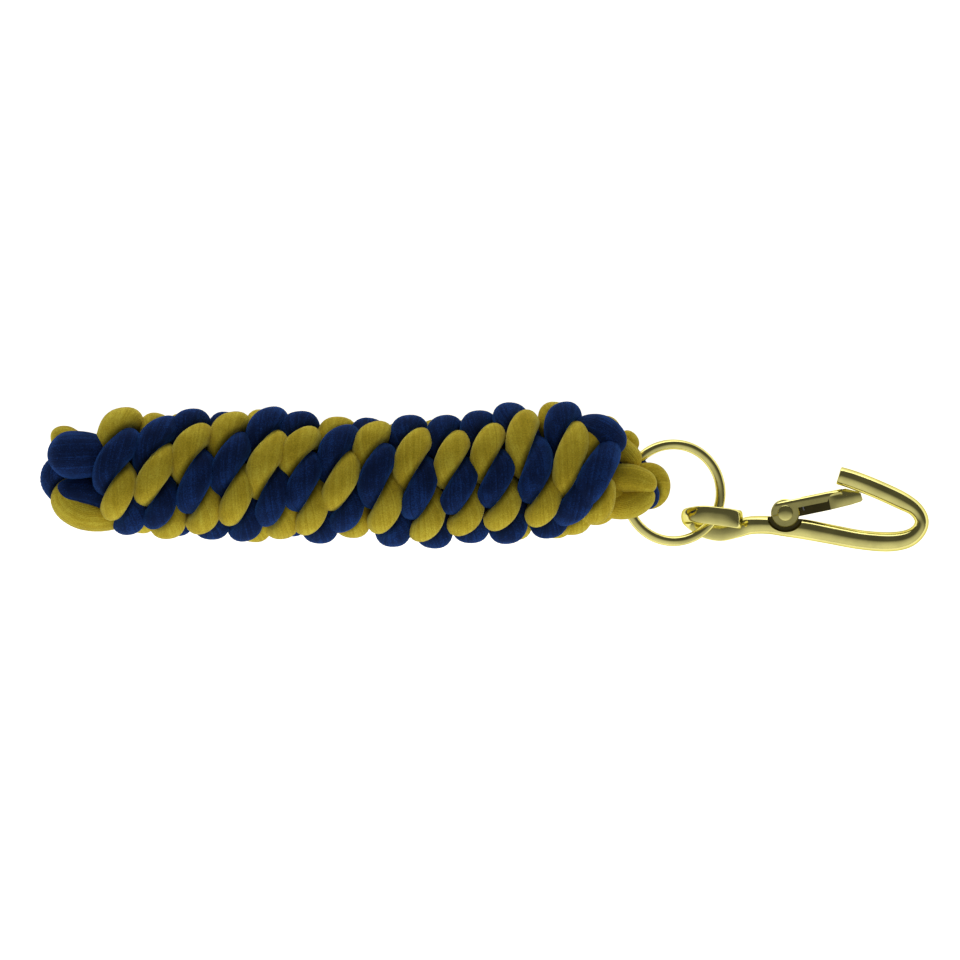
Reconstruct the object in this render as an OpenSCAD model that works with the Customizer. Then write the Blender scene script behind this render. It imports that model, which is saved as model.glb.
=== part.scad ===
// Lead rope for a horse, wound into a hank, with a brass ring and a sprung snap hook.
// The rope lies along X with the hook at the +X end, and everything rests on z = 0.

/* [Rope] */
// Diameter of the two-strand rope
rope_d = 16; // [14:0.5:18]
// Width of the wound hank across the wraps
hank_w = 50; // [44:1:56]
// Height of the wound hank as it lies
hank_h = 52; // [46:1:56]
// Length of the wrapped part of the hank
hank_l = 206; // [180:1:206]
// Diameter of the rope where it is pulled tight round the ring
eye_rope_d = 14; // [12:0.5:14]
// Radius of the bight that the folded core makes at the far end, to the rope's middle
bight_r = 12; // [10:0.5:14]

/* [Ring] */
// Diameter of the ring to the middle of its wire
ring_d = 38.6; // [36:0.2:40]
// Diameter of the ring's wire
ring_wire_d = 4; // [3:0.2:4.4]
// Slope of the ring, from the rope down to the hook
ring_tilt = 12; // [8:1:14]

/* [Snap hook] */
// Thickness of the lug that the gate turns on
lug_t = 3.4; // [2.6:0.1:3.6]
// Radius of the round pocket cut in each face of the hook for the gate's ears
pocket_r = 7.4; // [6.4:0.1:7.6]
// Diameter of the rivet's shank
rivet_d = 3; // [2:0.1:3]
// Diameter of the rivet's domed heads
rivet_head_d = 6.2; // [5:0.1:6.4]
// Radius of the gate's ears round the rivet
ear_r = 5; // [4.4:0.1:5.2]
// Thickness of the folded sheet that the gate is made of
gate_t = 0.9; // [0.6:0.1:0.9]
// Length of the gate from the rivet to its tip
gate_l = 31.5; // [29:0.5:32]
// Angle of the closed gate to the X axis
gate_angle = 11.5; // [10:0.5:11.5]

/* [Hidden] */

BRASS = "#d8bd6a";
STEEL = "#b9bcc0";
COTTON_BLUE = "#1d3f86";
COTTON_YELLOW = "#c9b23c";
$fn = 48;

// Places along the rope, from its far end to the ring
hank_x = -154;
hank_axis_z = hank_h / 2;
hank_corner_r = 22;
hank_end_r = 8;
hank_y = 2.4;
bight_y = 0.4;
bight_leg_l = 6;
hinge = [56.2, -3.9, 17];

// Route of the rope through the ring: in from the hank, round the wire and back
eye_route = [
    [44, -3.6, 8], [50, -3.6, 7.5], [56, -3.6, 7], [61.5, -3.6, 8.6], [65.2, -3.6, 12.6], [66.2, -3.6, 17],
    [65.2, -3.6, 21.6], [61.5, -3.6, 25.4], [56, -3.6, 27], [50, -3.6, 27], [44, -3.6, 26.5]
];
eye_sides = 12;

// Middle height of the hook and the place of its rivet
hook_z = 4;
pivot = [119.8, -12, hook_z];
lug_r = 6.2;
fit_gap = 0.1;

// The hook's bow, from the shank round to the nose: x, y, width and thickness
bow_rows = [
    [100, -17.2, 6.4, 4.6], [106, -16.9, 7.2, 6.4], [113, -16.8, 7.2, 7], [120, -17.6, 7.6, 7.2],
    [128, -18.5, 7.6, 7], [138, -20.3, 7, 6.8], [150, -22.7, 6.6, 7], [161, -23.6, 7.4, 7.6],
    [168.6, -22.5, 7, 7.8], [173.1, -19, 6, 7.8], [174.3, -14.8, 5.6, 7.8], [171.8, -10.5, 6, 7.6],
    [166, -6.9, 6.8, 7], [156, -2.3, 6.8, 6.8], [147, 1.2, 6.8, 6.8], [141.6, 2.9, 6.6, 6.8]
];
// The bent-over eye, from under the shank round to the strip's end on top: x, y, z, width and thickness
eye_rows = [
    [106, -17.2, 3.8, 6.4, 5], [100, -18.4, 2.3, 7.2, 3.6], [94, -19.4, 1.5, 7.6, 2.7],
    [88, -18.2, 1.5, 7.6, 2.5], [83, -15.4, 3, 7.4, 2.5], [80.3, -13, 7.6, 7.2, 2.5],
    [82.6, -11.9, 12.6, 7, 2.5], [88, -11.9, 15, 7, 2.5], [95, -12.2, 14.6, 7.2, 2.5],
    [100, -12.8, 12.2, 7.2, 2.5], [101.6, -13, 9.6, 7, 2.5]
];
row_steps = 4;
bow_sides = 20;
bow_power = 0.8;
strip_power = 0.45;

// The gate's outline in its own frame, with the rivet at the origin and the gate along X
gate_inner_half = 2.1;
gate_outer_half = gate_inner_half + gate_t;
near_edge_y = 1.1;
far_edge_y = -2.4;
trough_x = 18;
web_end_x = 24;
tip_top_y = 2.2;
tip_low_y = -1.5;
ear_hole_d = rivet_d + 3 * fit_gap;
lug_hole_d = rivet_d + 2 * fit_gap;
head_rise = 0.85;
head_dome_r = 1.3 * rivet_head_d;

// The leaf spring between the lug and the gate's web
leaf_t = 0.5;
leaf_w = 3;
leaf_bend_r = 3.4;
leaf_x = 7.2;
leaf_tail_l = 9;

// Numbers from a to b without b, evenly spaced
function steps(count) = [for (i = [0:count - 1]) i / count];

// A point on the smooth curve through four rows, t from 0 to 1 between the middle two
function smooth_row(a, b, c, d, t) =
    0.5 * (2 * b + (c - a) * t + (2 * a - 5 * b + 4 * c - d) * t * t + (3 * b - a - 3 * c + d) * t * t * t);

// A row list with row_steps smooth rows between each pair, first and last rows kept
function smooth_rows(rows) = let (last = len(rows) - 1) concat(
    [for (i = [0:last - 1], t = steps(row_steps))
        smooth_row(rows[max(i - 1, 0)], rows[i], rows[i + 1], rows[min(i + 2, last)], t)],
    [rows[last]]
);

function unit(v) = v / norm(v);
function tangent(path, i) = unit(path[min(i + 1, len(path) - 1)] - path[max(i - 1, 0)]);
function rounded(value, power) = sign(value) * pow(abs(value), power);

// One closed section: side and up are its axes, width and thickness its size
function section(middle, side, up, width, thickness, sides, power) = [
    for (k = [0:sides - 1])
        middle + side * (width / 2 * rounded(cos(360 * k / sides), power))
               + up * (thickness / 2 * rounded(sin(360 * k / sides), power))
];

// A closed solid through a list of sections with the same number of corners
module skin(sections) {
    sides = len(sections[0]);
    last = len(sections) - 1;
    points = [for (s = sections) each s];
    walls = [for (i = [0:last - 1], k = [0:sides - 1]) let (next = (k + 1) % sides)
        [i * sides + k, (i + 1) * sides + k, (i + 1) * sides + next, i * sides + next]];
    first_cap = [for (k = [0:sides - 1]) k];
    last_cap = [for (k = [sides - 1:-1:0]) last * sides + k];
    polyhedron(points = points, faces = concat([first_cap], walls, [last_cap]), convexity = 8);
}

// A flat rectangle centred on the origin with round corners
module round_rectangle(length, width, corner_r) {
    square([length - 2 * corner_r, width], center = true);
    square([length, width - 2 * corner_r], center = true);
    for (side_x = [-1, 1], side_y = [-1, 1])
        translate([side_x * (length / 2 - corner_r), side_y * (width / 2 - corner_r)])
            circle(r = corner_r);
}

// Outer shape of the wraps: round across, with eased ends
module rope_hank() {
    color(COTTON_BLUE)
        intersection() {
            translate([hank_x, hank_y, hank_axis_z])
                rotate([90, 0, 90])
                    linear_extrude(hank_l)
                        round_rectangle(hank_w, hank_h, hank_corner_r);
            translate([hank_x + hank_l / 2, hank_y, 0])
                linear_extrude(hank_h)
                    round_rectangle(hank_l, hank_w, hank_end_r);
        }
}

// The folded core showing past the last wrap
module rope_bight() {
    color(COTTON_YELLOW)
        translate([hank_x - bight_leg_l / 2, bight_y, hank_axis_z]) {
            rotate([0, 0, 90])
                rotate_extrude(angle = 180)
                    translate([bight_r, 0])
                        circle(d = rope_d);
            for (side = [-1, 1])
                translate([0, side * bight_r, 0])
                    rotate([0, 90, 0])
                        cylinder(d = rope_d, h = bight_leg_l);
        }
}

// The rope where it is spliced round the ring's wire
module rope_eye() {
    across = [0, 1, 0];
    color(COTTON_YELLOW)
        skin([for (i = [0:len(eye_route) - 1])
            section(eye_route[i], across, cross(tangent(eye_route, i), across),
                eye_rope_d, eye_rope_d, eye_sides, 1)]);
}

// Closed round ring, which slopes from the rope down to the hook
module ring() {
    color(BRASS)
        translate(hinge)
            rotate([0, ring_tilt, 0])
                translate([ring_d / 2, 0, 0])
                    rotate_extrude($fn = 96)
                        translate([ring_d / 2, 0])
                            circle(d = ring_wire_d);
}

// The cast bow, from the shank to the nose
module bow() {
    rows = smooth_rows(bow_rows);
    path = [for (r = rows) [r[0], r[1], hook_z]];
    up = [0, 0, 1];
    skin([for (i = [0:len(rows) - 1])
        section(path[i], cross(up, tangent(path, i)), up, rows[i][2], rows[i][3], bow_sides, bow_power)]);
}

// The shank drawn out to a strip and bent over, as the eye that holds the ring
module bent_eye() {
    rows = smooth_rows(eye_rows);
    path = [for (r = rows) [r[0], r[1], r[2]]];
    wide = [0, 1, 0];
    skin([for (i = [0:len(rows) - 1])
        let (along = tangent(path, i), side = unit(wide - (wide * along) * along))
        section(path[i], side, cross(along, side), rows[i][3], rows[i][4], bow_sides, strip_power)]);
}

// The hook: eye, shank, lug for the gate, and bow, with the gate's pockets and rivet hole cut out
module hook_body() {
    color(BRASS)
        difference() {
            union() {
                bow();
                bent_eye();
                translate(pivot)
                    cylinder(r = lug_r, h = lug_t, center = true);
            }
            for (side = [0, 1])
                translate(pivot)
                    mirror([0, 0, side])
                        translate([0, 0, lug_t / 2])
                            cylinder(r = pocket_r, h = hook_z);
            translate(pivot)
                cylinder(d = lug_hole_d, h = 2 * lug_t, center = true);
        }
}

// One side of the gate, from its ear to its tip, with its open edge at edge_y
module gate_cheek(edge_y) {
    difference() {
        union() {
            circle(r = ear_r);
            polygon([[0, -ear_r], [ear_r, edge_y], [trough_x, edge_y], [gate_l, tip_low_y],
                [gate_l - 0.5, tip_top_y], [web_end_x, ear_r], [0, ear_r]]);
        }
        circle(d = ear_hole_d);
    }
}

// Folded sheet gate: two cheeks joined by a web along the outer edge
module gate() {
    color(BRASS)
        translate(pivot)
            rotate([0, 0, gate_angle]) {
                translate([0, 0, gate_inner_half])
                    linear_extrude(gate_t)
                        difference() {
                            gate_cheek(near_edge_y);
                            translate([trough_x, -ear_r])
                                square([gate_l, 2 * ear_r]);
                        }
                translate([0, 0, -gate_outer_half])
                    linear_extrude(gate_t)
                        gate_cheek(far_edge_y);
                translate([pocket_r, ear_r - gate_t, -gate_outer_half])
                    cube([web_end_x - pocket_r, gate_t, 2 * gate_outer_half]);
            }
}

// Rivet through both ears and the lug, with a dome each end
module gate_rivet() {
    color(BRASS)
        translate(pivot) {
            cylinder(d = rivet_d, h = 2 * gate_outer_half, center = true);
            for (side = [0, 1])
                mirror([0, 0, side])
                    translate([0, 0, gate_outer_half])
                        intersection() {
                            cylinder(d = rivet_head_d, h = head_rise);
                            translate([0, 0, head_rise - head_dome_r])
                                sphere(r = head_dome_r);
                        }
        }
}

// Bent leaf spring that holds the gate shut against the lug's edge
module gate_spring() {
    top_y = ear_r - gate_t - fit_gap;
    color(STEEL)
        translate(pivot)
            rotate([0, 0, gate_angle])
                translate([leaf_x + leaf_bend_r, top_y - leaf_bend_r, -leaf_w / 2]) {
                    rotate([0, 0, 90])
                        rotate_extrude(angle = 110)
                            translate([leaf_bend_r - leaf_t, 0])
                                square([leaf_t, leaf_w]);
                    translate([0, leaf_bend_r - leaf_t, 0])
                        cube([leaf_tail_l, leaf_t, leaf_w]);
                }
}

rope_hank();
rope_bight();
rope_eye();
ring();
hook_body();
gate();
gate_rivet();
gate_spring();
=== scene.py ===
"""Looks of the lead rope: two cotton strands wound into a hank, a brass ring and a snap hook."""
import math

import bmesh
import bpy
import numpy as np
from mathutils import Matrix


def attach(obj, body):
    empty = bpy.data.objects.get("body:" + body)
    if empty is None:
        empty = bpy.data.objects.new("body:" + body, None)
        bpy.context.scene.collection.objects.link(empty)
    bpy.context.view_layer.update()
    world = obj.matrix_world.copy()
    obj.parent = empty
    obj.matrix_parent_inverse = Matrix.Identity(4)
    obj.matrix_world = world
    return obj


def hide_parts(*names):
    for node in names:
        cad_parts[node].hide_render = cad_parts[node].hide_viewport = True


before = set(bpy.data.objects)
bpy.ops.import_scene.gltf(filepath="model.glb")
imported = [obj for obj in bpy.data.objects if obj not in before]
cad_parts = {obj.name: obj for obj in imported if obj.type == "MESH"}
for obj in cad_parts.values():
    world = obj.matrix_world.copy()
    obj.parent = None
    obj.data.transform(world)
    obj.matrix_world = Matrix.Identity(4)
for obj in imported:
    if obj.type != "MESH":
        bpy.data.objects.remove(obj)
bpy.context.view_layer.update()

MM = 0.001
X_AXIS = np.array([1.0, 0.0, 0.0])
Y_AXIS = np.array([0.0, 1.0, 0.0])
Z_AXIS = np.array([0.0, 0.0, 1.0])

# ---------------------------------------------------------------- driving values, millimetres and degrees

# The rope: two strands, each half of its round section, with a valley where they meet
ROPE_R = 9.1
VALLEY = 0.46
VALLEY_POWER = 2.5
# Length for one full turn of the strands, length between sections, and points across a strand's crest
LAY = 24.0
STEP = 0.9
CREST_POINTS = 19
# The flat side of a strand, against its twin: shares of a quarter turn, and radii as shares of the rope's
INNER_TURNS = (0.96, 0.0, -0.96)
INNER_RADII = (0.45, 0.05, 0.45)
# How much each strand's thickness wanders, over how many sections, and what starts its random numbers
UNEVEN, UNEVEN_STEPS = 0.02, 9
YELLOW_SEED, BLUE_SEED = 1, 2
# Width of a yarn, and how much the yarns slant in a strand and in a tucked end
YARN_W = 0.75
YARN_SLANT = 0.12
TUCK_SLANT = 0.1
TUCK_CORNERS = 40
TUCK_TIP = 0.02

# The hank: where its axis runs, how far its wraps reach in height, and how they press on each other
HANK_Y = 2.4
HANK_Z = 26.0
WRAP_BACK = 16.6
WRAP_SQUEEZE = 0.98
WRAP_BOX = 2.45
LAST_WRAP_STEP = 6.0

# One row for each wrap, from the ring end to the far end:
# x at its front, top and bottom, reach at its top and bottom, lift of its front, and the angles
# round the hank, from its front, at which the blue, yellow, blue and yellow strands lie outermost
WRAPS = [
    (43.5, 45.5, 42, 16, 10, 2, (4, 76, 125, 170)),
    (35.5, 30, 34, 22, 14, 1, (-32, 26, 78, 115)),
    (20.5, 11, 26, 21, 16, 0, (-76, -34, 6, 54)),
    (4, -3, 9.5, 17.5, 18, 0, (-78, -38, -4, 38)),
    (-11.5, -17, -6, 16, 17.5, 0, (-90, -52, -12, 31)),
    (-27.5, -30.5, -21, 16, 19.5, 0, (-92, -55, -16, 32)),
    (-43, -45.5, -36, 15, 19, 0, (-82, -38, 8, 58)),
    (-58, -58.5, -54, 15, 15.5, 0, (-50, -5, 48, 96)),
    (-73, -74.5, -66, 17.5, 17.5, 0, (-88, -46, -4, 38)),
    (-87, -86.5, -80, 20, 16, 0, (-26, 20, 72, 126)),
    (-101, -101.5, -94, 18, 17.5, 0, (-68, -24, 20, 72)),
    (-116, -117.5, -109.5, 18.5, 16, 0, (-92, -50, -5, 43)),
    (-132, -129, -126, 17.5, 16, 0, (-38, 3, 58, 124)),
    (-147.5, -144.5, -140, 19.5, 14.5, 0, (-66, -22, 24, 78)),
]

# The rope's end under the splice, round the ring's wire and back on top
EYE_ROUTE = [
    (30, -3.6, 20), (38, -3.6, 17.5), (45, -3.6, 12), (50, -1.8, 9.2), (56, -1.6, 8.1), (61.5, -1.4, 9.4),
    (65.2, -1.2, 13), (66.2, -1.2, 18), (65.2, -1.2, 22.8), (61.5, -1.4, 26.8), (56, -1.6, 28.4),
    (50, -1.8, 28), (44, -3.6, 26.5),
]
EYE_SWELL = 0.85
EYE_SPREAD, EYE_SPREADS_AT = 1.22, (46, 56)
EYE_TURN = 0.0
# The core of the hank, from the splice to the far bight and back to the first wrap
CORE_ROUTE = [
    (30, -3.6, 26), (10, -2.6, 26), (-30, -2.6, 26), (-70, -2.6, 26), (-110, -3, 26), (-135, -6, 26),
    (-148, -9.2, 26), (-158, -9.6, 26), (-165, -6.4, 26), (-167.4, 0.6, 26), (-165, 7.6, 26),
    (-158, 11, 26), (-148, 11, 26), (-135, 9, 26), (-110, 7.4, 26), (-70, 7.4, 26), (-30, 7.4, 26),
    (5, 7.4, 25.5), (20, 8.8, 23), (30, 10.6, 18), (37, 10.4, 12.4), (41.4, 5.8, 9.6),
    (42.8, -1.2, 10.4), (42.6, -6.2, 16.6),
]
# The core's size at places in x: swollen at the bight and slim again at the eye
CORE_SWELLS_AT = (-158, -148, 30, 44)
CORE_SWELLS = (1.12, 1.0, 1.0, EYE_SWELL)
# Places in the bight, as x and y, and how far the yellow strand has turned there from lying uppermost
BIGHT_TURNS = [((-154.0, -9.7), -60.0), ((-165.8, -5.0), -12.0), ((-166.6, 6.0), 160.0)]
# The tail, tucked in under the last wrap
TAIL_ROUTE = [(-142, -3.8, 11.6), (-136, -7.6, 18), (-124, -6, 23), (-108, -2, 25)]
# How far yellow has turned from lying outermost at the four angles of a wrap's row
LOBE_TURNS = (-180.0, 0.0, 180.0, 360.0)
# Points for each span of the wraps, the other routes and the tucked ends, and passes that smooth the line
WRAP_POINTS = 30
ROUTE_POINTS = 24
TUCK_POINTS = 16
SMOOTHINGS = 4

# Lens and place of the camera, which looks straight down
LENS = 900.0
VIEW_W = 0.383
AIM = (-0.0021, 0.0012)
SENSOR = 36.0
CLIP_END = 60.0

# The ring, and the point where its wire lies in the rope's eye
RING_R = 19.3
RING_WIRE_R = 2.0
RING_TILT = 12.0
RING_STEPS, RING_CORNERS = 160, 32
HINGE = np.array([56.2, -3.9, 17.0])

# The hook from its strip's end to the nose: x, y, z, and its section's width, thickness and roundness
HOOK_ROWS = [
    (101.6, -14.6, 9.6, 7.4, 2.5, 0.8), (100, -14.3, 12.2, 7.4, 2.5, 0.8), (95, -13.5, 14.6, 7.4, 2.5, 0.8),
    (87.4, -12.6, 15, 7.2, 2.6, 0.85), (82, -12.6, 12.6, 6, 2.7, 0.95), (79.6, -13.4, 7.6, 5.6, 2.8, 1.0),
    (82.4, -15.4, 3, 6.4, 2.7, 0.9), (88, -18.2, 1.5, 7.6, 2.5, 0.8), (94, -19.4, 1.5, 7.6, 2.7, 0.8),
    (100, -18.4, 2.6, 7.2, 3.8, 0.7), (106, -16.9, 4, 7.2, 6.2, 0.95), (113, -16.8, 4, 7.2, 7, 1.0),
    (120, -17.6, 4, 7.6, 7.2, 0.95), (128, -18.6, 4, 8, 7, 1.0), (138, -20.5, 4, 7.8, 7, 1.0),
    (150, -22.7, 4, 7.7, 7.2, 1.0), (161, -23.5, 4, 7.8, 7.6, 1.0), (168.6, -22.3, 4, 7.2, 7.8, 1.0),
    (173.1, -19, 4, 6, 7.8, 1.0), (174.3, -14.8, 4, 5.6, 7.8, 1.0), (171.8, -10.5, 4, 6, 7.6, 1.0),
    (166, -6.9, 4, 7.2, 7, 1.0), (156, -2.3, 4, 7.4, 6.9, 1.0), (147, 1.2, 4, 7.4, 6.9, 1.0),
    (141.6, 2.9, 4, 7.2, 6.8, 1.0),
]
# Rows that belong to the flat strip, steps for each span, corners of a section, and the angle of a sharp edge
HOOK_STRIP_ROWS = 11
HOOK_STEPS = 8
HOOK_CORNERS = 48
HOOK_SHARP = 32
# The rings that close the strip's end and the worn nose: share of the section, and push along the path
STRIP_END = [(0.97, 0.25), (0.9, 0.45), (0.75, 0.55), (0.3, 0.6)]
NOSE_END = [(0.97, 0.3), (0.9, 0.42), (0.82, 0.4), (0.7, 0.1), (0.4, -0.5), (0.1, -0.7)]
PIVOT = np.array([119.8, -12.0, 4.0])
LUG_R, LUG_T, LUG_RIM = 5.7, 3.4, 0.35
POCKET_R, POCKET_WALL, POCKET_FLARE = 7.0, 2.4, 0.9
# The pockets' floor height, and the tolerance that picks the floor faces for the painted shade
POCKET_FLOOR, FLOOR_TOLERANCE = 1.3, 0.05
TURNED_CORNERS, POCKET_CORNERS = 64, 96

# The folded sheet gate in its own frame, with the rivet at the origin and the gate along X
GATE_ANGLE = 11.5
GATE_T = 0.9
GATE_INNER = 2.1
GATE_OUTER = GATE_INNER + GATE_T
GATE_L = 31.5
EAR_R = 5.0
# Radius of the sheet's fold outside and inside, and the points round it
OUTER_FOLD, INNER_FOLD = (1.6, 7), (1.2, 4)
NEAR_EDGE, FAR_EDGE = 1.1, -2.4
MOUTH_X = 17.4
# Where the painted shade inside the gate's channel ends, along the gate
PAINTED_SHADE_X = 18.2
GATE_EASE, GATE_SHARP = 0.2, 40
# The bow of the gate's tip, the line that it bends about, and the cuts that let it bend
TIP_BOW, TIP_MIDDLE = 0.05, 0.6
TIP_CUTS_X = (18.6, 20.0, 21.5, 23.0)
TIP_CUTS_Y = (-1.2, -0.4, 0.4, 1.2, 2.0, 2.8)
WEB_START, WEB_END = 7.4, 24.0
# Side view of the gate from the ear to the tip, along the far cheek's edge, and the near cheek's mouth
EAR_ARC, MOUTH_ARC = (90, 331, 40), (12.7, -90, 20)
FAR_SIDE = [
    (MOUTH_X, FAR_EDGE), (26.5, -2.05), (GATE_L - 0.8, -1.6), (GATE_L, -0.9), (GATE_L - 0.3, 1.7),
    (GATE_L - 1.2, 2.6), (WEB_END + 1.5, EAR_R - 0.15), (WEB_END, EAR_R),
]
MOUTH_CURVE = [
    (WEB_END - 0.4, 4.6), (WEB_END - 1.6, 4.0), (20.5, 3.9), (19.0, 3.4), (18.2, 2.4),
    (MOUTH_X, NEAR_EDGE),
]
# How far a cutting shape reaches past the metal, and how deep the near cheek's cuts go into the channel
CUT_PAST, CUT_TOP, CHEEK_OVERLAP = 1.0, 8.0, 0.6
WEB_LAP = 0.1
# Which faces inside the channel take the painted shade: a share of the sheet's thickness deep, and a little
# past it
PAINTED_SHADE_DEPTH, PAINTED_SHADE_LAP = 0.8, 0.1
RIVET_R, HEAD_R = 1.5, 3.1
# The rivet's dome: radius as a share of the head's, and height
DOME = [(1.0, 0.0), (1.0, 0.18), (0.96, 0.34), (0.85, 0.52), (0.66, 0.69), (0.42, 0.8), (0.16, 0.85)]
RIVET_SHARP = 40

# The strands' ends, tucked over the eye and at the far bight, as x, y, z and radius
TUCKS = [
    ("tuck_a", "cotton_yellow",
     [(46, 1.2, 27.5, 5.4), (52, 1.8, 31, 5.8), (58, 1.8, 32.5, 5.8), (63.5, 0.2, 32, 5),
      (67.3, -2.2, 29, 3.6)]),
    ("tuck_b", "cotton_yellow",
     [(46, -7, 26.5, 5), (52, -8.6, 29.5, 5.8), (58, -8.2, 30.8, 5.8), (63, -5.8, 31, 5),
      (66.8, -3, 28.8, 3.4)]),
    ("tuck_c", "cotton_yellow",
     [(49, 17, 24, 3.6), (53, 14.6, 26.5, 4.4), (57.5, 11, 28, 4.4), (60.5, 6, 27, 3.6)]),
    ("tuck_d", "cotton_yellow",
     [(54, 19, 18, 2.8), (57.2, 17.6, 20, 3.2), (58.6, 15.4, 20.6, 2.9), (57.2, 13.2, 20.8, 2.1)]),
    ("tuck_e", "cotton_yellow",
     [(49.8, 14.5, 26, 2.4), (50.6, 10, 29, 2.8), (50.6, 4, 30, 2.6)]),
    ("tuck_f", "cotton_yellow",
     [(40, -13, 20, 3.6), (46, -12.5, 24, 4), (51, -8.5, 27, 3.4)]),
    ("tuck_g", "cotton_blue",
     [(46, 6, 14, 4), (54, 8, 12, 4.4), (60, 7, 14, 4), (64, 4, 18, 3.2)]),
    ("tuck_h", "cotton_blue",
     [(44, -6, 10, 4), (51, -8, 8, 4.2), (58, -7.5, 8, 4), (62, -4, 10, 3)]),
    ("lap", "cotton_blue",
     [(37, 20, 27, 5), (41.5, 21.4, 33, 6), (46, 20.4, 37, 6.8), (50, 17.4, 36, 6.4),
      (52.2, 13.6, 30, 4.6)]),
    ("tail_c", "cotton_yellow",
     [(-156, 9, 20, 4.5), (-163, 14, 22, 6), (-169.3, 17, 22, 6.5), (-173, 16.5, 21, 5)]),
    ("tail_a", "cotton_blue",
     [(-144, 8, 26, 6), (-151, 10, 31, 7.2), (-157.5, 11.1, 36, 9), (-163.4, 11.2, 37, 9.6),
      (-168.4, 11, 34.5, 9), (-172.2, 10.6, 31, 6.5)]),
    ("tail_b", "cotton_blue",
     [(-140, -6, 27, 7), (-148, -6, 28.5, 7), (-155, -4.6, 30.5, 6.2), (-161, -3.2, 33, 5.2),
      (-166, -2.6, 33, 4.6), (-169.5, -1.6, 29, 3.6)]),
]

# Colours: deep, body, pale and sheen for each cotton, and the metals
YELLOW = ((0.34, 0.24, 0.012), (0.66, 0.49, 0.034), (0.84, 0.72, 0.08), (1.0, 0.94, 0.25))
BLUE = ((0.006, 0.012, 0.034), (0.009, 0.022, 0.088), (0.018, 0.064, 0.27), (0.05, 0.2, 0.7))
BRASS = (0.78, 0.71, 0.25)
BRASS_EDGE = (0.42, 0.38, 0.13)
# Darker brass that paints the shade in the gate's channel and on the pockets' floors
PAINTED_SHADE_BRASS = (0.11, 0.095, 0.035)
STEEL = (0.3, 0.3, 0.31)
BRASS_ROUGH, PAINTED_SHADE_ROUGH, STEEL_ROUGH = 0.13, 0.4, 0.25

# Cotton: scale and detail of its fibres, patches and slubs, their tone, the painted shade in its creases and
# its surface
FIBRES, PATCHES, SLUBS = (2200.0, 4.0), (130.0, 2.0), (0.8, 1.0)
FIBRE_ROUGH = 0.65
YARN_TONE, PATCH_TONE = 0.14, 0.4
DEEP_AT, BODY_AT, PALE_AT = 0.42, 0.76, 0.98
# Painted shade: the colour darkens towards each strand's edges, where the strands meet in a crease
CREASE_SHADE_START, CREASE_SHADE_TONE = 0.7, 0.3
WAVE_HEIGHT, SLUB_HEIGHT = 0.5, 0.5
COTTON_BUMP, COTTON_BUMP_DEPTH = 0.5, 0.0003
COTTON_ROUGH, COTTON_SPECULAR = 0.9, 0.04
SHEEN, SHEEN_ROUGH = 1.0, 0.3

# Metal: scale and detail of its changes of tone and its polishing marks, and its surface
TONES, MARKS = (110.0, 3.0), (2400.0, 2.0)
TARNISH, TARNISH_AT, CLEAR_AT = 0.78, 0.3, 0.62
ROUGH_RANGE = (0.7, 1.4)
MARK_HEIGHT = 0.05
METAL_BUMP, METAL_BUMP_DEPTH = 0.1, 0.0002

# Light: the glow of the floor, and the tent's tone from the far side, round overhead, to the near side
FLOOR_GLOW = 1.0
FLOOR_HALF, FLOOR_TONE, FLOOR_ROUGH = 3.0, 0.9, 0.9
TENT = [
    (0.0, 2.4), (0.085, 2.4), (0.12, 0.08), (0.6, 0.09), (0.66, 0.24), (0.76, 0.46), (0.9, 0.64),
    (1.0, 0.8),
]
TENT_AXIS, TENT_MIDDLE = (0.0, -0.47, 0.17), 0.5
TENT_STRENGTH = 1.1
LENS_PLANE = 15.0

# ---------------------------------------------------------------- curves


def spline(points, per_span):
    """A smooth curve through the points, per_span steps between each pair."""
    p = np.asarray(points, float)
    ends = np.vstack([2 * p[0] - p[1], p, 2 * p[-1] - p[-2]])
    t = (np.arange(per_span) / per_span)[:, None]
    out = []
    for a, b, c, d in zip(ends[:-3], ends[1:-2], ends[2:-1], ends[3:]):
        out.append(0.5 * (2 * b + (c - a) * t + (2 * a - 5 * b + 4 * c - d) * t ** 2
                          + (3 * b - a - 3 * c + d) * t ** 3))
    return np.vstack(out + [p[-1:]])


def lengths(path):
    """Distance along a path at each of its points."""
    return np.concatenate([[0.0], np.cumsum(np.linalg.norm(np.diff(path, axis=0), axis=1))])


def even(path, step):
    """The same path with points a step apart, and the distances at them."""
    along = lengths(path)
    at = np.linspace(0.0, along[-1], int(along[-1] / step) + 1)
    return np.column_stack([np.interp(at, along, path[:, k]) for k in range(path.shape[1])]), at


def unit(v):
    """Vectors of length 1 in the same directions."""
    return v / np.linalg.norm(v, axis=-1, keepdims=True)


def carried_frames(path, start):
    """Tangents and normals along a path, with the normals carried along without twist."""
    tangents = unit(np.gradient(path, axis=0))
    normals = np.empty_like(tangents)
    normals[0] = unit(start - tangents[0] * (start @ tangents[0]))
    for i in range(1, len(path)):
        n = normals[i - 1] - tangents[i] * (normals[i - 1] @ tangents[i])
        normals[i] = n / np.linalg.norm(n)
    return tangents, normals, np.cross(tangents, normals)


def monotone(xs, ys, x):
    """Smooth interpolation through rising values that never turns back."""
    xs, ys = np.asarray(xs, float), np.asarray(ys, float)
    h, slope = np.diff(xs), np.diff(ys) / np.diff(xs)
    m = np.concatenate([[slope[0]], 2 / (1 / slope[:-1] + 1 / slope[1:]), [slope[-1]]])
    i = np.clip(np.searchsorted(xs, x) - 1, 0, len(h) - 1)
    t = (x - xs[i]) / h[i]
    return ((1 + 2 * t) * (1 - t) ** 2 * ys[i] + t * (1 - t) ** 2 * h[i] * m[i]
            + t * t * (3 - 2 * t) * ys[i + 1] + t * t * (t - 1) * h[i] * m[i + 1])


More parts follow.
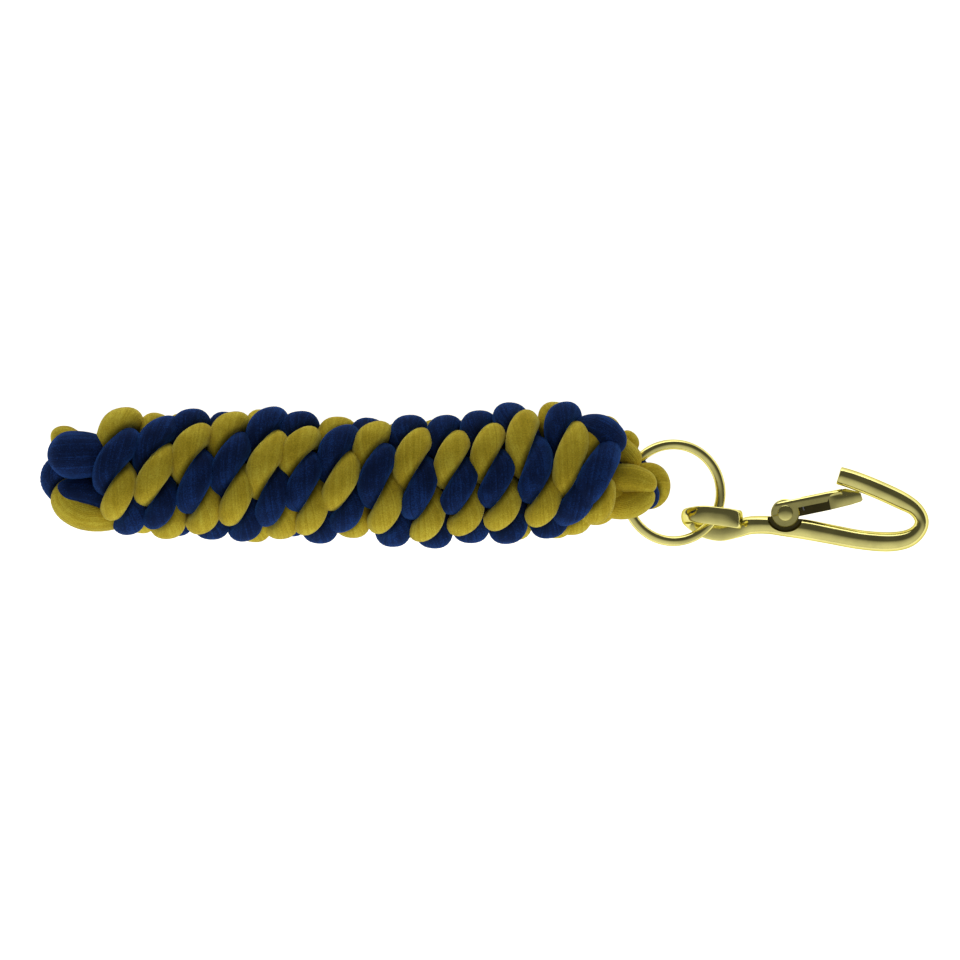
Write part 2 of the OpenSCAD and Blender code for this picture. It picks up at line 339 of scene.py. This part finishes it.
def around_z(degrees):
    """The turn about Z that takes a piece's own frame into place."""
    c, s = math.cos(math.radians(degrees)), math.sin(math.radians(degrees))
    return np.array([[c, -s, 0], [s, c, 0], [0, 0, 1]])


# ---------------------------------------------------------------- the rope's line and its twist


def wrap_path():
    """The wraps' centre line, and how far round the hank, in degrees, each of its points is."""
    turns, xs, reach_y, reach_z = [], [], [], []
    for k, (front, top, bottom, up, down, lift, _) in enumerate(WRAPS):
        next_bottom = WRAPS[k + 1][2] if k + 1 < len(WRAPS) else bottom - LAST_WRAP_STEP
        turns += [360 * k - 90, 360 * k, 360 * k + 90, 360 * k + 180]
        xs += [bottom, front, top, (top + next_bottom) / 2]
        reach_y += [down, (up + down) / 2, up, up]
        reach_z += [WRAP_BACK, WRAP_BACK + lift, WRAP_BACK, WRAP_BACK]
    rows = spline(np.column_stack([turns, xs, reach_y, reach_z]), WRAP_POINTS)
    angle = np.radians(rows[:, 0])
    y = HANK_Y + rows[:, 2] * np.sin(angle)
    z = HANK_Z + rows[:, 3] * np.cos(angle)
    return np.column_stack([rows[:, 1], y, z]), rows[:, 0]


def twist_marks(along, starts, eye, core, turns):
    """Where the strands' turn is known: distance along the rope, outward direction, yellow's turn."""
    marks = [(along[np.argmax(eye[:, 0])], X_AXIS, EYE_TURN)]
    for place, turn in BIGHT_TURNS:
        nearest = np.argmin(np.linalg.norm(core[:, :2] - place, axis=1))
        marks.append((along[starts[1] + nearest], Z_AXIS, turn))
    for k, row in enumerate(WRAPS):
        for angle, turn in zip(row[6], LOBE_TURNS):
            nearest = np.argmin(abs(turns - 360 * k - angle))
            outward = np.array([0.0, math.sin(math.radians(angle)), math.cos(math.radians(angle))])
            marks.append((along[starts[2] + nearest], outward, turn))
    return marks


def rope_path():
    """The rope's even centre line from splice to tail, how it is pressed, and the marks of its twist."""
    wraps, turns = wrap_path()
    eye = spline(EYE_ROUTE + CORE_ROUTE[:1], ROUTE_POINTS)[:-1]
    core = spline(CORE_ROUTE + [tuple(wraps[0])], ROUTE_POINTS)[:-1]
    tail = spline([tuple(wraps[-1])] + TAIL_ROUTE, ROUTE_POINTS)[1:]
    whole = np.vstack([eye, core, wraps, tail])
    starts = np.cumsum([0, len(eye), len(core), len(wraps)])
    in_eye, in_core, in_wraps = [slice(start, end) for start, end in zip(starts[:-1], starts[1:])]
    size, pressed, spread = np.ones(len(whole)), np.zeros(len(whole)), np.ones(len(whole))
    size[in_eye] = EYE_SWELL
    size[in_core] = np.interp(core[:, 0], CORE_SWELLS_AT, CORE_SWELLS)
    pressed[in_wraps] = 1
    spread[in_eye] = np.interp(eye[:, 0], EYE_SPREADS_AT, (1, EYE_SPREAD))
    rows, at = even(np.column_stack([whole, size, pressed, spread]), STEP)
    for _ in range(SMOOTHINGS):
        rows[1:-1] = (rows[:-2] + 2 * rows[1:-1] + rows[2:]) / 4
    return rows[:, :3], at, rows[:, 3:], twist_marks(lengths(whole), starts, eye, core, turns)


def shaped(out, press):
    """The rope's section as it is pressed: swollen, boxed by its neighbours, and spread at the eye."""
    size, pressed, spread = [press[:, k][:, None] for k in range(3)]
    out = out * size[..., None]
    u, v = abs(out[..., 0]), np.hypot(out[..., 1], out[..., 2])
    corner = np.hypot(u, v) / (u ** WRAP_BOX + v ** WRAP_BOX) ** (1 / WRAP_BOX)
    out = out * (1 + pressed * (corner - 1))[..., None]
    out[..., 0] *= 1 + pressed * (WRAP_SQUEEZE - 1)
    out[..., 1] *= spread
    return out


def twist(at, marks, normals, sides):
    """How far the strands have turned about the rope's line at each point, through the marks' turns."""
    xs, ys = [], []
    for where, outward, turn in marks:
        i = int(np.searchsorted(at, where))
        base = math.degrees(math.atan2(outward @ sides[i], outward @ normals[i])) + turn
        if xs:
            natural = ys[-1] + (where - xs[-1]) / LAY * 360
            base += 360 * round((natural - base) / 360)
        xs.append(where)
        ys.append(base)
    before, after = xs[0], at[-1] - xs[-1]
    xs = [0.0] + xs + [at[-1]]
    ys = [ys[0] - before / LAY * 360] + ys + [ys[-1] + after / LAY * 360]
    return np.radians(monotone(xs, ys, at))


# ---------------------------------------------------------------- meshes


def linked(name, data):
    """A new object in the scene for a mesh or a camera."""
    obj = bpy.data.objects.new(name, data)
    bpy.context.scene.collection.objects.link(obj)
    return obj


def grid_object(name, grid, attributes=None, closed=False):
    """A tube from a grid of rings by corners by 3, closed on itself or with caps at its ends."""
    rings, corners = grid.shape[:2]
    index = np.arange(rings * corners).reshape(rings, corners)
    right = np.roll(index, -1, axis=1)
    ahead, right_ahead = np.roll(index, -1, axis=0), np.roll(right, -1, axis=0)
    spans = rings if closed else rings - 1
    quads = np.stack([index, right, right_ahead, ahead], axis=-1)[:spans].reshape(-1, 4)
    caps = [] if closed else [index[0][::-1], index[-1]]
    loops = np.concatenate([quads.reshape(-1)] + caps)
    starts = np.concatenate([np.arange(len(quads)) * 4, len(quads) * 4 + np.arange(len(caps)) * corners])
    mesh = bpy.data.meshes.new(name)
    mesh.vertices.add(rings * corners)
    mesh.vertices.foreach_set("co", (grid.reshape(-1) * MM).astype(np.float32))
    mesh.loops.add(len(loops))
    mesh.loops.foreach_set("vertex_index", loops.astype(np.int32))
    mesh.polygons.add(len(starts))
    mesh.polygons.foreach_set("loop_start", starts.astype(np.int32))
    mesh.polygons.foreach_set("use_smooth", np.ones(len(starts), bool))
    for key, values in (attributes or {}).items():
        layer = mesh.attributes.new(key, "FLOAT", "POINT")
        layer.data.foreach_set("value", values.reshape(-1).astype(np.float32))
    mesh.update(calc_edges=True)
    mesh.validate()
    return linked(name, mesh)


def smooth_noise(rng, count, per_knot):
    """Slow random rises and falls between -1 and 1."""
    knots = rng.uniform(-1, 1, count // per_knot + 3)
    return np.interp(np.arange(count), np.arange(len(knots)) * per_knot, knots)


def strand(name, start, rope, seed):
    """One of the two strands: half of the rope, with its yarns running along the rope."""
    path, at, press, turn, normals, sides = rope
    rng = np.random.default_rng(seed)
    half = math.pi / 2
    local = np.linspace(-half, half, CREST_POINTS)
    crest = ROPE_R * (1 - VALLEY * abs(local / half) ** VALLEY_POWER)
    local = np.concatenate([local, half * np.array(INNER_TURNS)])
    radius = np.concatenate([crest, np.array(INNER_RADII) * ROPE_R])
    around = local[None, :] + (turn + start)[:, None]
    lumps = 1 + UNEVEN * smooth_noise(rng, len(at), UNEVEN_STEPS)
    radius = radius[None, :] * lumps[:, None]
    out = (normals[:, None, :] * (np.cos(around) * radius)[..., None]
           + sides[:, None, :] * (np.sin(around) * radius)[..., None])
    grid = path[:, None, :] + shaped(out, press)
    yarn = (turn[:, None] + (1 + YARN_SLANT) * local[None, :]) * ROPE_R / YARN_W
    across = np.repeat(local[None, :] / half, len(at), axis=0)
    run = np.repeat(at[:, None], len(local), axis=1)
    return grid_object(name, grid, {"yarn": yarn, "across": across, "run": run})


def tuck(name, route):
    """A strand's tucked end: a plump length of yarns through points of x, y, z and radius."""
    rows, at = even(spline(route, TUCK_POINTS), STEP / 2)
    path, size = rows[:, :3], rows[:, 3]
    _, normals, sides = carried_frames(path, -Z_AXIS)
    yarns = int(2 * math.pi * size.max() / YARN_W)
    angle = np.linspace(0, 2 * math.pi, TUCK_CORNERS, endpoint=False)
    end = np.minimum(at, at[-1] - at) / size.max()
    closing = np.sqrt(np.clip(1 - np.clip(1 - end, 0, 1) ** 2, TUCK_TIP, 1))
    radius = (size * closing)[:, None]
    grid = (path[:, None, :] + normals[:, None, :] * (np.cos(angle)[None, :] * radius)[..., None]
            + sides[:, None, :] * (np.sin(angle)[None, :] * radius)[..., None])
    yarn = (yarns * angle / (2 * math.pi))[None, :] + at[:, None] * TUCK_SLANT
    run = np.repeat(at[:, None], TUCK_CORNERS, axis=1)
    return grid_object(name, grid, {"yarn": yarn, "across": np.zeros_like(run), "run": run})


def section_grid(path, side, up, width, thickness, roundness, corners):
    """Rings of rounded-box sections: roundness 1 is an ellipse and near 0 is a box."""
    angle = np.linspace(0, 2 * math.pi, corners, endpoint=False)
    c, s = np.cos(angle)[None, :], np.sin(angle)[None, :]
    flat = np.sign(c) * abs(c) ** roundness[:, None] * width[:, None] / 2
    high = np.sign(s) * abs(s) ** roundness[:, None] * thickness[:, None] / 2
    return path[:, None, :] + side[:, None, :] * flat[..., None] + up[:, None, :] * high[..., None]


def capped(grid, tangents, first, last):
    """The grid with smaller rings added at its ends, each by its share of the size and its push."""
    def ring(base, tangent, share, push):
        middle = base.mean(axis=0)
        return middle + (base - middle) * share + tangent * push
    head = [ring(grid[0], -tangents[0], share, push) for share, push in reversed(first)]
    tail = [ring(grid[-1], tangents[-1], share, push) for share, push in last]
    return np.concatenate([np.array(head), grid, np.array(tail)])


def lathe(name, profile, place, corners=TURNED_CORNERS):
    """A turned shape about Z from radii and heights, going up."""
    angle = np.linspace(0, 2 * math.pi, corners, endpoint=False)
    circle = np.column_stack([np.cos(angle), np.sin(angle), np.zeros(corners)])
    grid = np.array([circle * r + Z_AXIS * z for r, z in profile])
    return grid_object(name, grid + place)


def prism(name, outline, low, high, turn, place):
    """A flat plate of an outline in the XY plane, turned about Z and put in place."""
    flat = np.column_stack([np.asarray(outline, float), np.zeros(len(outline))])
    grid = np.array([flat + Z_AXIS * low, flat + Z_AXIS * high])
    return grid_object(name, grid @ turn.T + place)


def arc(radius, start, end, count, middle=(0.0, 0.0)):
    """Points along part of a circle, between two angles in degrees."""
    angle = np.radians(np.linspace(start, end, count))
    return [(middle[0] + radius * math.cos(a), middle[1] + radius * math.sin(a)) for a in angle]


def carve(target, other, operation):
    """Adds another mesh to the target, cuts it away or keeps what both share, and uses it up."""
    modifier = target.modifiers.new("carve", "BOOLEAN")
    modifier.operation = operation
    modifier.solver = "EXACT"
    modifier.object = other
    applied(target)
    bpy.data.objects.remove(other)


def applied(target):
    """Applies every modifier of an object."""
    graph = bpy.context.evaluated_depsgraph_get()
    mesh = bpy.data.meshes.new_from_object(target.evaluated_get(graph))
    target.modifiers.clear()
    target.data = mesh


def divided(target, place, normal):
    """Adds an edge all round a piece where a plane crosses it, leaving its shape as it is."""
    work = bmesh.new()
    work.from_mesh(target.data)
    parts = work.verts[:] + work.edges[:] + work.faces[:]
    bmesh.ops.bisect_plane(work, geom=parts, plane_co=place * MM, plane_no=normal)
    work.to_mesh(target.data)
    work.free()


def eased(target, width, angle):
    """Rounds the sharp edges of a metal piece and shades it smooth between the edges that are left."""
    if width:
        modifier = target.modifiers.new("ease", "BEVEL")
        modifier.width = width * MM
        modifier.segments = 3
        modifier.limit_method = "ANGLE"
        modifier.angle_limit = math.radians(angle)
        modifier.use_clamp_overlap = True
        applied(target)
    mesh = target.data
    mesh.polygons.foreach_set("use_smooth", [True] * len(mesh.polygons))
    mesh.set_sharp_from_angle(angle=math.radians(angle))


# ---------------------------------------------------------------- metal pieces


def ring_piece():
    """The closed ring, a round wire lying in the rope's eye and tilted down towards the hook."""
    angle = np.linspace(0, 2 * math.pi, RING_STEPS, endpoint=False)
    tilt = math.radians(RING_TILT)
    along = np.array([math.cos(tilt), 0.0, -math.sin(tilt)])
    out = np.cos(angle)[:, None] * along + np.sin(angle)[:, None] * Y_AXIS
    middle = HINGE + along * RING_R
    wire = RING_WIRE_R * 2 * np.ones(RING_STEPS)
    up = np.repeat(np.cross(along, Y_AXIS)[None, :], RING_STEPS, axis=0)
    grid = section_grid(middle + out * RING_R, out, up, wire, wire, np.ones(RING_STEPS), RING_CORNERS)
    return grid_object("brass_ring", grid[:, ::-1], closed=True)


def hook_bar():
    """The hook's bar: its strip bent over as an eye, then the shank and the bow to the nose."""
    rows = spline(HOOK_ROWS, HOOK_STEPS)
    path = rows[:, :3]
    tangents = unit(np.gradient(path, axis=0))
    strip = (np.arange(len(rows)) < HOOK_STRIP_ROWS * HOOK_STEPS)[:, None]
    flat_side = Y_AXIS - tangents * (tangents @ Y_AXIS)[:, None]
    side = unit(np.where(strip, flat_side, np.cross(Z_AXIS, tangents)))
    up = np.cross(tangents, side)
    grid = section_grid(path, side, up, rows[:, 3], rows[:, 4], rows[:, 5], HOOK_CORNERS)
    return grid_object("brass_hook", capped(grid, tangents, STRIP_END, NOSE_END))


def pocket_cutter(face):
    """The round pocket beside the lug, on the upper or lower face, flared outwards."""
    flared = POCKET_R + POCKET_FLARE
    wall = [
        (POCKET_R, POCKET_FLOOR),
        (flared, POCKET_FLOOR + POCKET_WALL),
        (flared, POCKET_FLOOR + 2 * POCKET_WALL),
    ]
    profile = [(r, face * z) for r, z in wall][::face]
    return lathe("pocket", profile, PIVOT, POCKET_CORNERS)


def lug_disc():
    """The round lug that carries the gate's rivet."""
    half, face_r = LUG_T / 2, LUG_R - LUG_RIM
    profile = [(face_r, -half), (LUG_R, LUG_RIM - half), (LUG_R, half - LUG_RIM), (face_r, half)]
    return lathe("lug", profile, PIVOT, POCKET_CORNERS)


def hook_piece():
    """The hook: its bar with two pockets and a lug. The pockets' floors take the darker brass, painted shade
    where the pockets lie in shadow.
    """
    hook = hook_bar()
    for face in (1, -1):
        carve(hook, pocket_cutter(face), "DIFFERENCE")
    carve(hook, lug_disc(), "UNION")
    eased(hook, 0, HOOK_SHARP)
    # Painted shade: the pockets' floors take the darker brass
    for polygon in hook.data.polygons:
        x, y, z = abs(np.array(polygon.center) / MM - PIVOT)
        on_floor = abs(z - POCKET_FLOOR) < FLOOR_TOLERANCE
        polygon.material_index = int(math.hypot(x, y) < POCKET_R and on_floor)
    return hook


def channel_outline(half, fold, points, top, bottom):
    """The gate's section as z and y, with a round fold at each upper corner."""
    return ([(-half, bottom), (half, bottom)]
            + arc(fold, 0, 90, points, (half - fold, top - fold))
            + arc(fold, 90, 180, points, (fold - half, top - fold)))


def channel(name, outline, start, end, turn):
    """A length of the gate's channel, or of the hollow in it."""
    across = np.array([[0.0, y, z] for z, y in outline])
    grid = np.array([across + X_AXIS * start, across + X_AXIS * end])
    return grid_object(name, grid[:, ::-1] @ turn.T + PIVOT)


def folded_gate(turn):
    """The gate's sheet, folded to a channel and cut to its side view."""
    outer = channel_outline(GATE_OUTER, *OUTER_FOLD, EAR_R, -EAR_R - CUT_PAST)
    inner = channel_outline(GATE_INNER, *INNER_FOLD, EAR_R - GATE_T, -EAR_R - 2 * CUT_PAST)
    gate = channel("brass_gate", outer, -EAR_R - CUT_PAST, GATE_L + CUT_PAST, turn)
    carve(gate, channel("hollow", inner, WEB_START, GATE_L + 2 * CUT_PAST, turn), "DIFFERENCE")
    low, high = -EAR_R - 3 * CUT_PAST, EAR_R + 2 * CUT_PAST
    start, end = -EAR_R - 2 * CUT_PAST, WEB_START + WEB_LAP
    ear_cut = [(start, low), (end, low), (end, high), (start, high)]
    carve(gate, prism("ear_cut", ear_cut, -GATE_INNER, GATE_INNER, turn, PIVOT), "DIFFERENCE")
    side_view = arc(EAR_R, *EAR_ARC) + FAR_SIDE
    past = GATE_OUTER + CUT_PAST
    carve(gate, prism("side_view", side_view, -past, past, turn, PIVOT), "INTERSECT")
    return gate


def open_cheek(gate, turn):
    """Cuts the near cheek back to its mouth, and the whole near side away at the tip."""
    end, past = GATE_L + 2 * CUT_PAST, GATE_OUTER + CUT_PAST
    corners = [(0, -CUT_TOP), (end, -CUT_TOP), (end, CUT_TOP), (WEB_END, CUT_TOP)]
    mouth = arc(EAR_R, *MOUTH_ARC) + corners + MOUTH_CURVE
    carve(gate, prism("mouth", mouth, GATE_INNER - CHEEK_OVERLAP, past, turn, PIVOT), "DIFFERENCE")
    tip = [(WEB_END, -CUT_TOP)] + corners[1:]
    carve(gate, prism("tip", tip, -GATE_INNER, past, turn, PIVOT), "DIFFERENCE")


def bowed_tip(gate, turn):
    """Bows the flat tip across its width, more and more towards its end."""
    for x in TIP_CUTS_X:
        divided(gate, turn @ [x, 0, 0] + PIVOT, turn @ X_AXIS)
    for y in TIP_CUTS_Y:
        divided(gate, turn @ [0, y, 0] + PIVOT, turn @ Y_AXIS)
    for vertex in gate.data.vertices:
        x, y, _ = turn.T @ (np.array(vertex.co) / MM - PIVOT)
        share = min(max((x - TIP_CUTS_X[0]) / (TIP_CUTS_X[-1] - TIP_CUTS_X[0]), 0), 1)
        vertex.co.z -= TIP_BOW * share * (y - TIP_MIDDLE) ** 2 * MM


def gate_piece():
    """The gate: a folded strip round the lug, open at the near cheek, with darker brass inside as painted
    shade in the channel.
    """
    turn = around_z(GATE_ANGLE)
    gate = folded_gate(turn)
    open_cheek(gate, turn)
    eased(gate, GATE_EASE, GATE_SHARP)
    divided(gate, turn @ [PAINTED_SHADE_X, 0, 0] + PIVOT, turn @ X_AXIS)
    bowed_tip(gate, turn)
    # Painted shade: faces inside the channel, short of the tip, take the darker brass
    for face in gate.data.polygons:
        x, y, z = turn.T @ (np.array(face.center) / MM - PIVOT)
        under_web = y < EAR_R - PAINTED_SHADE_DEPTH * GATE_T
        between_cheeks = abs(z) < GATE_INNER + PAINTED_SHADE_LAP
        face.material_index = int(x < PAINTED_SHADE_X and under_web and between_cheeks)
    return gate


def rivet_piece():
    """The rivet: a shank with a domed head at each end."""
    top = [(HEAD_R * r, GATE_OUTER + z) for r, z in DOME]
    profile = [(r, -z) for r, z in reversed(top)] + [(RIVET_R, -GATE_OUTER), (RIVET_R, GATE_OUTER)] + top
    rivet = lathe("brass_rivet", profile, PIVOT)
    eased(rivet, 0, RIVET_SHARP)
    return rivet


# ---------------------------------------------------------------- materials


def new_material(name):
    """A material with its node tree and its shader."""
    material = bpy.data.materials.new(name)
    material.use_nodes = True
    tree = material.node_tree
    return material, tree, tree.nodes["Principled BSDF"]


def node(tree, kind, inputs=None, **values):
    """A node with its settings, and values or sockets for its inputs by name or number."""
    made = tree.nodes.new(kind)
    for key, value in values.items():
        setattr(made, key, value)
    for key, value in (inputs or {}).items():
        if isinstance(value, bpy.types.NodeSocket):
            tree.links.new(value, made.inputs[key])
        else:
            made.inputs[key].default_value = value
    return made


def maths(tree, operation, *values):
    """The result of a sum on values or sockets."""
    return node(tree, "ShaderNodeMath", dict(enumerate(values)), operation=operation).outputs[0]


def attribute(tree, name):
    """A number that the mesh holds at each of its points."""
    return node(tree, "ShaderNodeAttribute", attribute_name=name).outputs["Fac"]


def noise(tree, scale, detail, **inputs):
    """Cloudy noise over the piece, or along one number if W is given."""
    settings = {"Scale": scale, "Detail": detail, **inputs}
    if "W" in inputs:
        return node(tree, "ShaderNodeTexNoise", settings, noise_dimensions="1D").outputs["Fac"]
    settings["Vector"] = node(tree, "ShaderNodeTexCoord").outputs["Object"]
    return node(tree, "ShaderNodeTexNoise", settings).outputs["Fac"]


def bump(tree, shader, height, strength, depth):
    """Gives the shader a bump of this height."""
    made = node(tree, "ShaderNodeBump", {"Height": height, "Strength": strength, "Distance": depth})
    tree.links.new(made.outputs["Normal"], shader.inputs["Normal"])


def ramp(tree, factor, stops):
    """A colour ramp through places and colours."""
    made = node(tree, "ShaderNodeValToRGB", {"Fac": factor})
    elements = made.color_ramp.elements
    while len(elements) < len(stops):
        elements.new(0.5)
    for element, (place, colour) in zip(elements, stops):
        element.position = place
        element.color = (*colour, 1)
    return made.outputs["Color"]


def yarn_colour(tree, yarn, fibre, deep, body, pale):
    """Colour that varies by yarn, patch and fibre, with painted shade that darkens it in the creases between
    the strands.
    """
    number = maths(tree, "FLOOR", maths(tree, "ADD", yarn, 0.5))
    own = node(tree, "ShaderNodeTexWhiteNoise", {"W": number}, noise_dimensions="1D").outputs["Value"]
    mix = maths(tree, "MULTIPLY_ADD", own, YARN_TONE, fibre)
    mix = maths(tree, "MULTIPLY_ADD", noise(tree, *PATCHES), PATCH_TONE, mix)
    colour = ramp(tree, mix, [(DEEP_AT, deep), (BODY_AT, body), (PALE_AT, pale)])
    # Painted shade in the creases: darker towards each strand's edges
    edge = maths(tree, "ABSOLUTE", attribute(tree, "across"))
    fall = {"Value": edge, "From Min": CREASE_SHADE_START, "From Max": 1.0, "To Min": 1.0, "To Max": CREASE_SHADE_TONE}
    crease_shade = node(tree, "ShaderNodeMapRange", fall, interpolation_type="SMOOTHSTEP").outputs["Result"]
    shaded = node(tree, "ShaderNodeVectorMath", {0: colour, "Scale": crease_shade}, operation="SCALE")
    return shaded.outputs["Vector"]


def cotton(name, deep, body, pale, sheen):
    """Twisted cotton yarn: uneven colour, soft sheen, and a bump of yarns, slubs and fine fibres."""
    material, tree, shader = new_material(name)
    yarn = attribute(tree, "yarn")
    fibre = noise(tree, *FIBRES, Roughness=FIBRE_ROUGH)
    tree.links.new(yarn_colour(tree, yarn, fibre, deep, body, pale), shader.inputs["Base Color"])
    wave = maths(tree, "COSINE", maths(tree, "MULTIPLY", yarn, 2 * math.pi))
    slub = noise(tree, *SLUBS, W=attribute(tree, "run"))
    height = maths(tree, "MULTIPLY_ADD", slub, SLUB_HEIGHT, fibre)
    height = maths(tree, "MULTIPLY_ADD", wave, WAVE_HEIGHT, height)
    bump(tree, shader, height, COTTON_BUMP, COTTON_BUMP_DEPTH)
    shader.inputs["Roughness"].default_value = COTTON_ROUGH
    shader.inputs["Specular IOR Level"].default_value = COTTON_SPECULAR
    shader.inputs["Sheen Weight"].default_value = SHEEN
    shader.inputs["Sheen Roughness"].default_value = SHEEN_ROUGH
    shader.inputs["Sheen Tint"].default_value = (*sheen, 1)
    return material


def metal(name, colour, edge, roughness):
    """Polished metal with fine polishing marks, small changes of tone and a little tarnish."""
    material, tree, shader = new_material(name)
    broad = noise(tree, *TONES)
    fine = noise(tree, *MARKS)
    dull = tuple(TARNISH * c for c in colour)
    tone = ramp(tree, broad, [(TARNISH_AT, dull), (CLEAR_AT, colour)])
    tree.links.new(tone, shader.inputs["Base Color"])
    smoothest, roughest = roughness * ROUGH_RANGE[0], roughness * ROUGH_RANGE[1]
    rough = node(tree, "ShaderNodeMapRange", {"Value": fine, "To Min": smoothest, "To Max": roughest})
    tree.links.new(rough.outputs["Result"], shader.inputs["Roughness"])
    height = maths(tree, "MULTIPLY_ADD", fine, MARK_HEIGHT, broad)
    bump(tree, shader, height, METAL_BUMP, METAL_BUMP_DEPTH)
    shader.inputs["Metallic"].default_value = 1.0
    shader.inputs["Specular Tint"].default_value = (*edge, 1)
    return material


# ---------------------------------------------------------------- camera and light


def camera():
    """A long lens high above the hank, looking straight down."""
    data = bpy.data.cameras.new("camera")
    data.lens = LENS
    data.sensor_width = SENSOR
    data.clip_end = CLIP_END
    obj = linked("camera", data)
    obj.location = (AIM[0], AIM[1], LENS_PLANE * MM + VIEW_W / SENSOR * LENS)
    bpy.context.scene.camera = obj


def stage():
    """A white floor that glows a little, as a light table does."""
    mesh = bpy.data.meshes.new("floor")
    corners = [(FLOOR_HALF * x, FLOOR_HALF * y, 0) for x, y in ((-1, -1), (1, -1), (1, 1), (-1, 1))]
    mesh.from_pydata(corners, [], [(0, 1, 2, 3)])
    floor = linked("floor", mesh)
    material, _, shader = new_material("floor")
    shader.inputs["Base Color"].default_value = (FLOOR_TONE, FLOOR_TONE, FLOOR_TONE, 1)
    shader.inputs["Roughness"].default_value = FLOOR_ROUGH
    shader.inputs["Emission Color"].default_value = (1, 1, 1, 1)
    shader.inputs["Emission Strength"].default_value = FLOOR_GLOW
    mesh.materials.append(material)


def light():
    """A tent of light: bright low on the far side, dark above that, and paler round to the near side."""
    world = bpy.data.worlds.new("studio")
    bpy.context.scene.world = world
    world.use_nodes = True
    tree = world.node_tree
    direction = node(tree, "ShaderNodeTexCoord").outputs["Generated"]
    lean = node(tree, "ShaderNodeVectorMath", {0: direction, 1: TENT_AXIS}, operation="DOT_PRODUCT")
    place = maths(tree, "ADD", lean.outputs["Value"], TENT_MIDDLE)
    tone = ramp(tree, place, [(at, (grey, grey, grey)) for at, grey in TENT])
    background = tree.nodes["Background"]
    tree.links.new(tone, background.inputs["Color"])
    background.inputs["Strength"].default_value = TENT_STRENGTH


# ---------------------------------------------------------------- the build


def finish_soft(piece, slot):
    """Gives a length of rope the cotton for its slot, and its body."""
    piece.data.materials.append(cottons[slot])
    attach(piece, "rope")
    return piece


def finish_metal(piece, body, node_name):
    """Gives a metal piece its two brasses and its body, and takes its CAD node's place."""
    # The second brass is the darker one that paints shade in the hollows
    piece.data.materials.append(brass)
    piece.data.materials.append(painted_shade_brass)
    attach(piece, body)
    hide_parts(node_name)


bpy.context.scene.view_settings.view_transform = "Standard"
camera()
stage()
light()

path, at, press, marks = rope_path()
_, normals, sides = carried_frames(path, Z_AXIS)
turn = twist(at, marks, normals, sides)
rope = (path, at, press, turn, normals, sides)

cottons = {
    "cotton_yellow": cotton("cotton_yellow", *YELLOW),
    "cotton_blue": cotton("cotton_blue", *BLUE),
}
strands = [
    finish_soft(strand("strand_yellow", 0.0, rope, YELLOW_SEED), "cotton_yellow"),
    finish_soft(strand("strand_blue", math.pi, rope, BLUE_SEED), "cotton_blue"),
]
tucks = [finish_soft(tuck(name, route), slot) for name, slot, route in TUCKS]

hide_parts("rope_hank", "rope_bight", "rope_eye")

brass = metal("brass", BRASS, BRASS_EDGE, BRASS_ROUGH)
# Darker brass for painted shade in the gate's channel and the hook's pockets
painted_shade_brass = metal("painted_shade_brass", PAINTED_SHADE_BRASS, BRASS_EDGE, PAINTED_SHADE_ROUGH)
finish_metal(ring_piece(), "ring", "ring")
finish_metal(hook_piece(), "hook", "hook_body")
finish_metal(gate_piece(), "gate", "gate")
finish_metal(rivet_piece(), "hook", "gate_rivet")

spring_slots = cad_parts["gate_spring"].data.materials
spring_slots.clear()
spring_slots.append(metal("spring_steel", STEEL, STEEL, STEEL_ROUGH))
